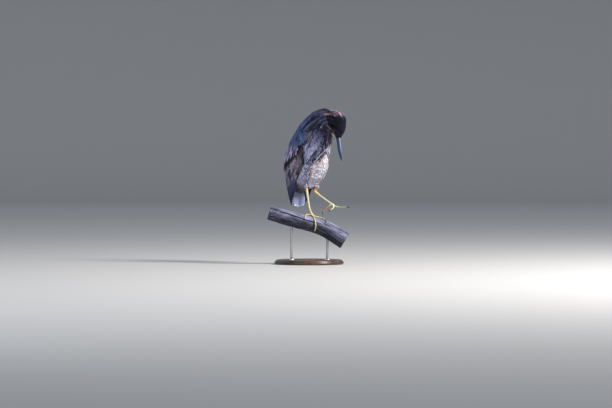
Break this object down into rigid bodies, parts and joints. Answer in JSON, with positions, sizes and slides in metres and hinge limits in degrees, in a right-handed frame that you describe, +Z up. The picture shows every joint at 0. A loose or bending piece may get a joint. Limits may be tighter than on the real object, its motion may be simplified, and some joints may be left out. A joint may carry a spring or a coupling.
{
  "type": "black-crowned night heron, immature",
  "caption": "Life-size immature black-crowned night heron, hunched with its head bowed, standing on one leg on a cut branch with the other foot raised, on a small display stand.",
  "frame": {"origin": "centre of the display base's underside, on the floor", "axes": "+X the way the bird faces, +Y to the bird's left, +Z up"},
  "size_m": [0.2769, 0.2431, 0.5299],
  "materials": {
    "plumage_head": "soft dark feathering",
    "plumage_neck": "soft streaked feathering",
    "plumage_body": "soft pale feathering with faint streaks",
    "plumage_wing": "layered feathers with pale tips",
    "plumage_primaries": "smooth dark flight feathers",
    "plumage_tail": "smooth blue-grey feathers with white tips",
    "bill_upper": "smooth horn, satin",
    "bill_lower": "smooth horn, satin",
    "eye": "wet gloss",
    "leg_skin": "scaly skin, satin",
    "claw": "horn, satin",
    "branch_wood": "weathered bare wood",
    "stand_wood": "stained wood, satin lacquer",
    "stand_metal": "brushed"
  },
  "bodies": {
    "root": {"head": "plumage_head", "neck": "plumage_neck", "trunk": "plumage_body", "tail": "plumage_tail", "bill_upper": "bill_upper", "bill_lower": "bill_lower", "eye_left": "eye", "wing_left": "plumage_wing", "primaries_left": "plumage_primaries", "thigh_left": "plumage_body", "tibia_left": "leg_skin", "tarsus_left": "leg_skin", "foot_left": "leg_skin", "toe_hind_left": "leg_skin", "toe_inner_left": "leg_skin", "toe_middle_left": "leg_skin", "toe_outer_left": "leg_skin", "claw_hind_left": "claw", "claw_inner_left": "claw", "claw_middle_left": "claw", "claw_outer_left": "claw", "eye_right": "eye", "wing_right": "plumage_wing", "primaries_right": "plumage_primaries", "thigh_right": "plumage_body", "tibia_right": "leg_skin", "tarsus_right": "leg_skin", "foot_right": "leg_skin", "toe_hind_right": "leg_skin", "toe_inner_right": "leg_skin", "toe_middle_right": "leg_skin", "toe_outer_right": "leg_skin", "claw_hind_right": "claw", "claw_inner_right": "claw", "claw_middle_right": "claw", "claw_outer_right": "claw", "perch": "branch_wood", "stand_base": "stand_wood", "stand_rod_1": "stand_metal", "stand_rod_2": "stand_metal"}
  },
  "joints": []
}
